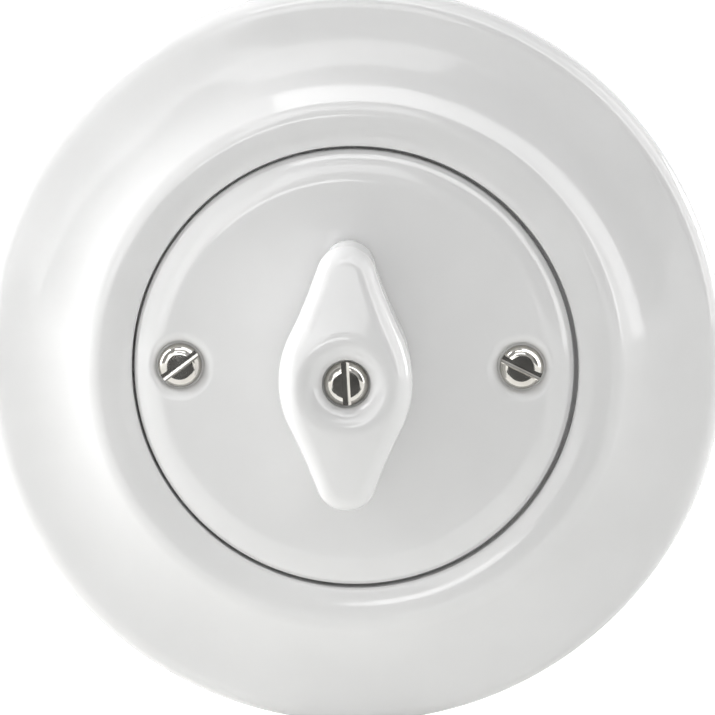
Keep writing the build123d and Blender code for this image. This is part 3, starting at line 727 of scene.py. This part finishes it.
def crown(radius):
    """The knob's top before its edge is rounded, by the distance from the spindle's axis."""
    top, away = HUB_CREST - CREST_CLEAR, radius - HUB_CREST_RADIUS
    if away < 0:
        return top - BOWL_CURVE + sqrt(BOWL_CURVE**2 - away**2)
    fall = tan(radians(WING_SLOPE))
    turn = min(asin(min(1.0, away / HUB_SHOULDER)), radians(WING_SLOPE))
    return top - HUB_SHOULDER * (1 - cos(turn)) - (away - HUB_SHOULDER * sin(turn)) * fall


def knob_mesh():
    """The lozenge, ring by ring: foot, leaning wall, rounded edge, top, bowl, pocket and socket."""
    points_around, crown_rows = 336, 44
    outline = [(p - Vector((KNOB_SLIP, 0)), n) for p, n in lozenge(points_around)]
    lean = tan(radians(KNOB_LEAN))
    rings = []
    for turn in np.linspace(0, 90, 5):
        inset = KNOB_BASE_CURVE * (1 - sin(radians(turn)))
        height = KNOB_BASE + KNOB_BASE_CURVE * (1 - cos(radians(turn)))
        rings.append([(*(p + n * ((height - KNOB_BASE) * lean - inset)), height) for p, n in outline])
    low = KNOB_BASE + KNOB_BASE_CURVE
    tops = [crown(p.length) - KNOB_EDGE_CURVE for p, _ in outline]
    for share in np.linspace(0, 1, 6)[1:]:
        ring = []
        for (p, n), top in zip(outline, tops):
            height = low + (top - low) * share
            ring.append((*(p + n * ((height - KNOB_BASE) * lean)), height))
        rings.append(ring)
    for turn in np.linspace(0, 90, 19)[1:]:
        rise, run = sin(radians(turn)), 1 - cos(radians(turn))
        ring = []
        for (p, n), top in zip(outline, tops):
            place = p + n * ((top - KNOB_BASE + KNOB_EDGE_CURVE * rise) * lean - KNOB_EDGE_CURVE * run)
            ring.append((*place, crown(place.length) - KNOB_EDGE_CURVE * (1 - rise)))
        rings.append(ring)
    starts = [hypot(x, y) for x, y, _ in rings[-1]]
    angles = [atan2(y, x) for x, y, _ in rings[-1]]
    for row in range(1, crown_rows + 1):
        ring = []
        for start, angle in zip(starts, angles):
            radius = start * (POCKET_RADIUS / start) ** (row / crown_rows)
            ring.append((radius * cos(angle), radius * sin(angle), crown(radius)))
        rings.append(ring)

    def level(radius, height):
        return [(radius * cos(a), radius * sin(a), height) for a in angles]

    def square(height):
        ring = []
        for a in angles:
            reach = SOCKET_HALF / max(abs(cos(a)), abs(sin(a)))
            ring.append((reach * cos(a), reach * sin(a), height))
        return ring

    rings += [level(POCKET_RADIUS, KNOB_SEAT), level(SCREW_PASSAGE, KNOB_SEAT)]
    rings += [level(SCREW_PASSAGE, SOCKET_TOP), square(SOCKET_TOP)]
    rings += [square(NECK_BOTTOM), level(NECK_RADIUS, NECK_BOTTOM), level(NECK_RADIUS, KNOB_BASE)]
    return ringed("knob_glazed", rings)


put("surround_glazed", surround_mesh(), "housing", "porcelain", ["surround"], sharp=40)
cover = put("cover_plate_glazed", cover_mesh(), "housing", "porcelain", ["cover_plate"], sharp=40)
smooth_front(cover, cover_height, inner=COVER_HOLE + 0.4, outer=28.9)
put("knob_glazed", knob_mesh(), "rotor", "porcelain", ["knob"], sharp=50)


# Screws


def screw_outline(radius, height, curve, length):
    """A pan-head screw's section: domed head, a shank with points close enough for its thread, and a tip."""
    chamfer, neck, point_step = 0.4, 0.3, 0.1
    shank = [(SHANK_RADIUS, -z, 0) for z in np.arange(length - 0.5, neck, -point_step)]
    corners = [(0.0, -length, 0), (SHANK_RADIUS - chamfer, -length, 0), *shank]
    corners += [(SHANK_RADIUS, 0.0, 0), (radius - 0.08, 0.0, 0), (radius, 0.1, 0)]
    corners += [(radius, height, curve), (0.0, height, 0)]
    return rounded(corners)


PAN_HEAD, PAN_SLOT = (HEAD_RADIUS, HEAD_HEIGHT, HEAD_ROUND), (SLOT_WIDTH, SLOT_DEPTH)
CLAMP_HEAD, CLAMP_SLOT, CLAMP_LENGTH = (2.4, 1.6, 0.8), (0.8, 0.7), 2.25


def place_screw(replaced, slot, body, matrix, length, angle, head=PAN_HEAD, saw=PAN_SLOT):
    """A slotted screw set in its place. It is drawn on the axis, with its head standing on height zero."""
    name = replaced + "_turned"
    mesh = turned(
        name,
        screw_outline(*head, length),
        segments=96,
        slot=slot,
        Pitch=0.5,
        Thread_Depth=0.55,
        Thread_Top=-0.4,
        Top=head[1],
        Slot_Width=saw[0],
        Slot_Depth=saw[1],
        Slot_Angle=radians(angle),
    )
    mesh.transform(matrix)
    return put(name, mesh, body, slot, [replaced], sharp=30)


def at(x, y, height):
    """A place in the drawing."""
    return Matrix.Translation((x, y, height))


BACKWARD, OUTWARD = Matrix.Rotation(pi, 4, "X"), Matrix.Rotation(pi / 2, 4, "Y")
place_screw("cover_screw_left", "nickel", "housing", at(-SCREW_X, 0, SCREW_SEAT), length=8.95, angle=37)
place_screw("cover_screw_right", "nickel", "housing", at(SCREW_X, 0, SCREW_SEAT), length=8.95, angle=-26)
place_screw("knob_screw", "nickel", "rotor", at(0, 0, KNOB_SEAT), length=10.3, angle=93)
for side, place, angle in ((1, "upper", 14), (-1, "lower", -52)):
    there = at(0, side * BRIDGE_SCREW_Y, BRIDGE_FRONT)
    place_screw("bridge_screw_" + place, "zinc_plated_steel", "housing", there, length=12.0, angle=angle)
for side, place, angle in ((-1, "left", 66), (1, "right", -21)):
    there = at(side * REAR_SCREW_X, 0, REAR_FACE) @ BACKWARD
    place_screw("rear_screw_" + place, "zinc_plated_steel", "housing", there, length=9.0, angle=angle)
for way, angle in zip(WAYS, (8, -35, 57)):
    there = Matrix.Rotation(radians(WAYS[way]), 4, "Z") @ at(CLAMP_SEAT, 0, CLAMP_HEIGHT) @ OUTWARD
    name = way + "_clamp_screw"
    place_screw(name, "nickel_brass", "housing", there, CLAMP_LENGTH, angle, head=CLAMP_HEAD, saw=CLAMP_SLOT)


# Pressed and moulded pieces with eased edges

slot_of = {entry["node"]: entry["material_slot"] for entry in frame["record"]["subparts"]}
EASED_CORNER, LEVEL_WITHIN = radians(40), radians(0.5)


def eased(name, width):
    """Shows a copy of a CAD node whose edges are rounded as its mould, press or deburring leaves them."""
    mesh = frame["nodes"][name].data.copy()
    shape = bmesh.new()
    shape.from_mesh(mesh)
    bmesh.ops.remove_doubles(shape, verts=shape.verts, dist=1e-6)
    bmesh.ops.dissolve_limit(shape, angle_limit=LEVEL_WITHIN, verts=shape.verts, edges=shape.edges)
    bmesh.ops.recalc_face_normals(shape, faces=shape.faces)
    shape.to_mesh(mesh)
    shape.free()
    mesh.polygons.foreach_set("use_smooth", [True] * len(mesh.polygons))
    mesh.set_sharp_from_angle(angle=EASED_CORNER)
    rough = bpy.data.objects.new(name, mesh)
    bpy.context.scene.collection.objects.link(rough)
    ease = rough.modifiers.new("ease", "BEVEL")
    ease.width, ease.segments = width * MM, 2
    ease.limit_method, ease.angle_limit = "ANGLE", EASED_CORNER
    ease.harden_normals = True
    put(name + "_eased", plain_mesh(rough), "housing", slot_of[name], [name], sharp=None, upright=False)


eased("mechanism_base", width=0.35)
for name in ("mounting_plate", "bearing_bridge"):
    eased(name, width=0.2)
eased("rear_plate", width=0.12)
for way in WAYS:
    eased(way + "_terminal", width=0.2)


# CAD nodes that stay as they are

for name, piece in frame["nodes"].items():
    piece.data.materials.clear()
    piece.data.materials.append(FINISHES[slot_of[name]])


# Stage, lights and camera

WHITE, BLACK = (1, 1, 1, 1), (0, 0, 0, 1)


def stage_piece(name, points, faces, material, reflections_only=True):
    """A plain surface of the studio. Most are there for reflections only."""
    mesh = bpy.data.meshes.new(name)
    mesh.from_pydata(points, [], faces)
    mesh.materials.append(material)
    piece = bpy.data.objects.new(name, mesh)
    bpy.context.scene.collection.objects.link(piece)
    if reflections_only:
        piece.visible_camera = piece.visible_diffuse = False
        piece.visible_shadow = piece.visible_transmission = False


def painted_floor(near=0.25, far=0.8):
    """A pale floor that the camera and reflections see as white, and that runs into the backdrop far off."""
    made = bpy.data.materials.new("painted_studio_floor")
    made.use_nodes = True
    tree = made.node_tree
    tree.nodes.clear()
    rays = node(tree, "ShaderNodeLightPath").outputs
    first_two = {0: rays["Is Camera Ray"], 1: rays["Is Glossy Ray"]}
    seen = node(tree, "ShaderNodeMath", first_two, operation="MAXIMUM")
    both = node(tree, "ShaderNodeMath", {0: seen, 1: rays["Is Transmission Ray"]}, operation="MAXIMUM")
    place = node(tree, "ShaderNodeTexCoord").outputs["Object"]
    away = node(tree, "ShaderNodeVectorMath", {0: place}, operation="LENGTH").outputs["Value"]
    reach = {"Value": away, "From Min": near, "From Max": far, "To Min": 0.5, "To Max": 1.0}
    own = node(tree, "ShaderNodeMapRange", reach)
    share = node(tree, "ShaderNodeMath", {0: both, 1: own}, operation="MULTIPLY")
    matt = node(tree, "ShaderNodeBsdfDiffuse", Color=srgb("#EDEDEB"))
    glow = node(tree, "ShaderNodeEmission", {"Strength": share}, Color=WHITE)
    mixed = node(tree, "ShaderNodeAddShader", {0: matt, 1: glow})
    node(tree, "ShaderNodeOutputMaterial", {"Surface": mixed})
    return made


FLOOR_REACH, FLOOR_HEIGHT = 6.0, cad_low.z - 0.0004
floor_corners = ((-1, -1), (1, -1), (1, 1), (-1, 1))
floor_points = [(x * FLOOR_REACH, y * FLOOR_REACH, FLOOR_HEIGHT) for x, y in floor_corners]
stage_piece("floor", floor_points, [(0, 1, 2, 3)], painted_floor(), reflections_only=False)

# A dark flag in front of the switch darkens what the flat screw heads mirror. Only reflections see it.
FLAG_HALF_WIDTH, FLAG_LINE = 0.085, ((-0.13, -0.0495), (-0.34, -0.0495), (-0.36, 0.02))
flag_points = [(side * FLAG_HALF_WIDTH, y, z) for y, z in FLAG_LINE for side in (-1, 1)]
flag_cloth, _, flag_shader = new_material("grey_flag_cloth")
shade(flag_shader, Base_Color=srgb("#404040"), Roughness=0.95)
stage_piece("flag", flag_points, [(0, 1, 3, 2), (2, 3, 5, 4)], flag_cloth)


def light_world(front, back, room_left, room_right):
    """The studio's walls: white for the camera, white behind the object for reflections, dimmer in front."""
    world = bpy.data.worlds.new("studio")
    bpy.context.scene.world = world
    world.use_nodes = True
    tree = world.node_tree
    tree.nodes.clear()
    rays = node(tree, "ShaderNodeLightPath").outputs
    towards = node(tree, "ShaderNodeTexCoord").outputs["Generated"]
    way = node(tree, "ShaderNodeSeparateXYZ", {"Vector": towards}).outputs
    # Matt surfaces are lit by a soft wall in front and a weaker one behind.
    ahead = {"Value": way["Y"], "From Min": -1.0, "From Max": 0.0, "To Min": front, "To Max": 0.0}
    behind = {"Value": way["Y"], "From Min": 0.0, "From Max": 1.0, "To Min": 0.0, "To Max": back}
    wall, rear = node(tree, "ShaderNodeMapRange", ahead), node(tree, "ShaderNodeMapRange", behind)
    soft = node(tree, "ShaderNodeMath", {0: wall, 1: rear}, operation="ADD")
    # Glossy ones show the white backdrop behind the object and the room in front of it.
    sides = {"Value": way["X"], "From Min": -0.5, "From Max": 0.5, "To Min": room_left, "To Max": room_right}
    room = node(tree, "ShaderNodeMapRange", sides)
    depth = {"Value": way["Y"], "From Min": -0.2, "From Max": 0.15, "To Min": room, "To Max": 1.0}
    shown = node(tree, "ShaderNodeMapRange", depth, interpolation_type="SMOOTHSTEP")
    level = soft
    for ray, strength in (("Is Glossy Ray", shown), ("Is Camera Ray", 1.0), ("Is Transmission Ray", 1.0)):
        level = node(tree, "ShaderNodeMix", {"Factor": rays[ray], "A": level, "B": strength})
    glow = node(tree, "ShaderNodeBackground", {"Strength": level}, Color=WHITE)
    node(tree, "ShaderNodeOutputWorld", {"Surface": glow})


def direction(azimuth, elevation):
    """Towards a place round the object: azimuth 0 is in front, 90 to the right."""
    a, e = radians(azimuth), radians(elevation)
    return Vector((sin(a) * cos(e), -cos(a) * cos(e), sin(e)))


def softbox(name, azimuth, elevation, distance, width, height, radiance, turn=0.0):
    """A rectangular lamp that faces the object, with its brightness given as what a mirror would show."""
    data = bpy.data.lights.new(name, "AREA")
    data.shape = "RECTANGLE"
    data.size, data.size_y = width, height
    data.energy = radiance * pi * width * height
    lamp = bpy.data.objects.new(name, data)
    way = direction(azimuth, elevation)
    lamp.location = way * distance
    facing = way.to_track_quat("Z", "Y") @ Matrix.Rotation(radians(turn), 3, "Z").to_quaternion()
    lamp.rotation_euler = facing.to_euler()
    lamp.visible_camera = False
    bpy.context.scene.collection.objects.link(lamp)
    return lamp


def sheen_hoop(name, inner, outer, start, end, strength):
    """Part of a ring light in front of the object, between two angles off its axis, for reflections only."""
    steps = 24
    points = []
    for clock in np.linspace(radians(start), radians(end), steps + 1):
        for off in (radians(inner), radians(outer)):
            points.append((sin(off) * cos(clock), -cos(off), sin(off) * sin(clock)))
    cloth, _, shader = new_material(name + "_lit_cloth")
    shade(shader, Base_Color=BLACK, Emission_Color=WHITE, Emission_Strength=strength)
    stage_piece(name, points, [(2 * k, 2 * k + 1, 2 * k + 3, 2 * k + 2) for k in range(steps)], cloth)


light_world(front=0.83, back=0.3, room_left=0.45, room_right=0.25)
# The lamps stand a metre off and are half a metre square.
LAMP_DISTANCE, LAMP_SIZE = 1.0, 0.5
for name, azimuth, elevation, radiance in (
    ("left_high", -90, 38, 10.0),
    ("left_low", -90, 8, 6.0),
    ("left_back", -115, 8, 1.8),
    ("left_top", -90, 65, 0.3),
    ("right_back", 115, 8, 7.0),
    ("right_high", 90, 38, 3.0),
    ("right_front_high", 40, 38, 0.42),
    ("right_front", 15, 8, 0.3),
):
    softbox(name, azimuth, elevation, LAMP_DISTANCE, LAMP_SIZE, LAMP_SIZE, radiance)
# These only show as reflections: two broad ones left of and above the camera, and a small one low in front.
for name, azimuth, elevation, distance, width, height, radiance, turn in (
    ("sheen_left", -22, 10, 1.0, 0.42, 0.45, 2.0, 0),
    ("sheen_top", -5, 31, 1.0, 0.5, 0.34, 2.2, 0),
    ("sheen_low", -6.6, 2.4, 0.332, 0.056, 0.036, 5.5, 20),
):
    softbox(name, azimuth, elevation, distance, width, height, radiance, turn).visible_diffuse = False
sheen_hoop("sheen_hoop", inner=57.5, outer=67, start=-4, end=112, strength=5.0)
sheen_hoop("sheen_hoop_side", inner=67, outer=95, start=-40, end=88, strength=2.8)

CAMERA_AZIMUTH, CAMERA_ELEVATION, CAMERA_DISTANCE = 2.1, 8.8, 0.8
SENSOR_WIDTH = 36.0
PHOTO_SIZE, FOCAL_PIXELS = 715, 5919
ORIGIN_PIXEL_X, ORIGIN_PIXEL_Y = 353.6, 353.9  # where the photo shows the frame's origin
PIXELS_PER_METRE = FOCAL_PIXELS / CAMERA_DISTANCE
aim_right = (PHOTO_SIZE / 2 - ORIGIN_PIXEL_X) / PIXELS_PER_METRE
aim_up = (ORIGIN_PIXEL_Y - PHOTO_SIZE / 2) / PIXELS_PER_METRE

back = direction(CAMERA_AZIMUTH, CAMERA_ELEVATION)
facing = back.to_track_quat("Z", "Y")
camera = bpy.data.objects.new("camera", bpy.data.cameras.new("camera"))
camera.data.sensor_width = SENSOR_WIDTH
camera.data.lens = FOCAL_PIXELS / PHOTO_SIZE * SENSOR_WIDTH
camera.rotation_euler = facing.to_euler()
camera.location = back * CAMERA_DISTANCE + facing @ Vector((aim_right, aim_up, 0))
camera.data.clip_start, camera.data.clip_end = 0.01, 50
bpy.context.scene.collection.objects.link(camera)
bpy.context.scene.camera = camera
bpy.context.scene.view_settings.view_transform = "Standard"
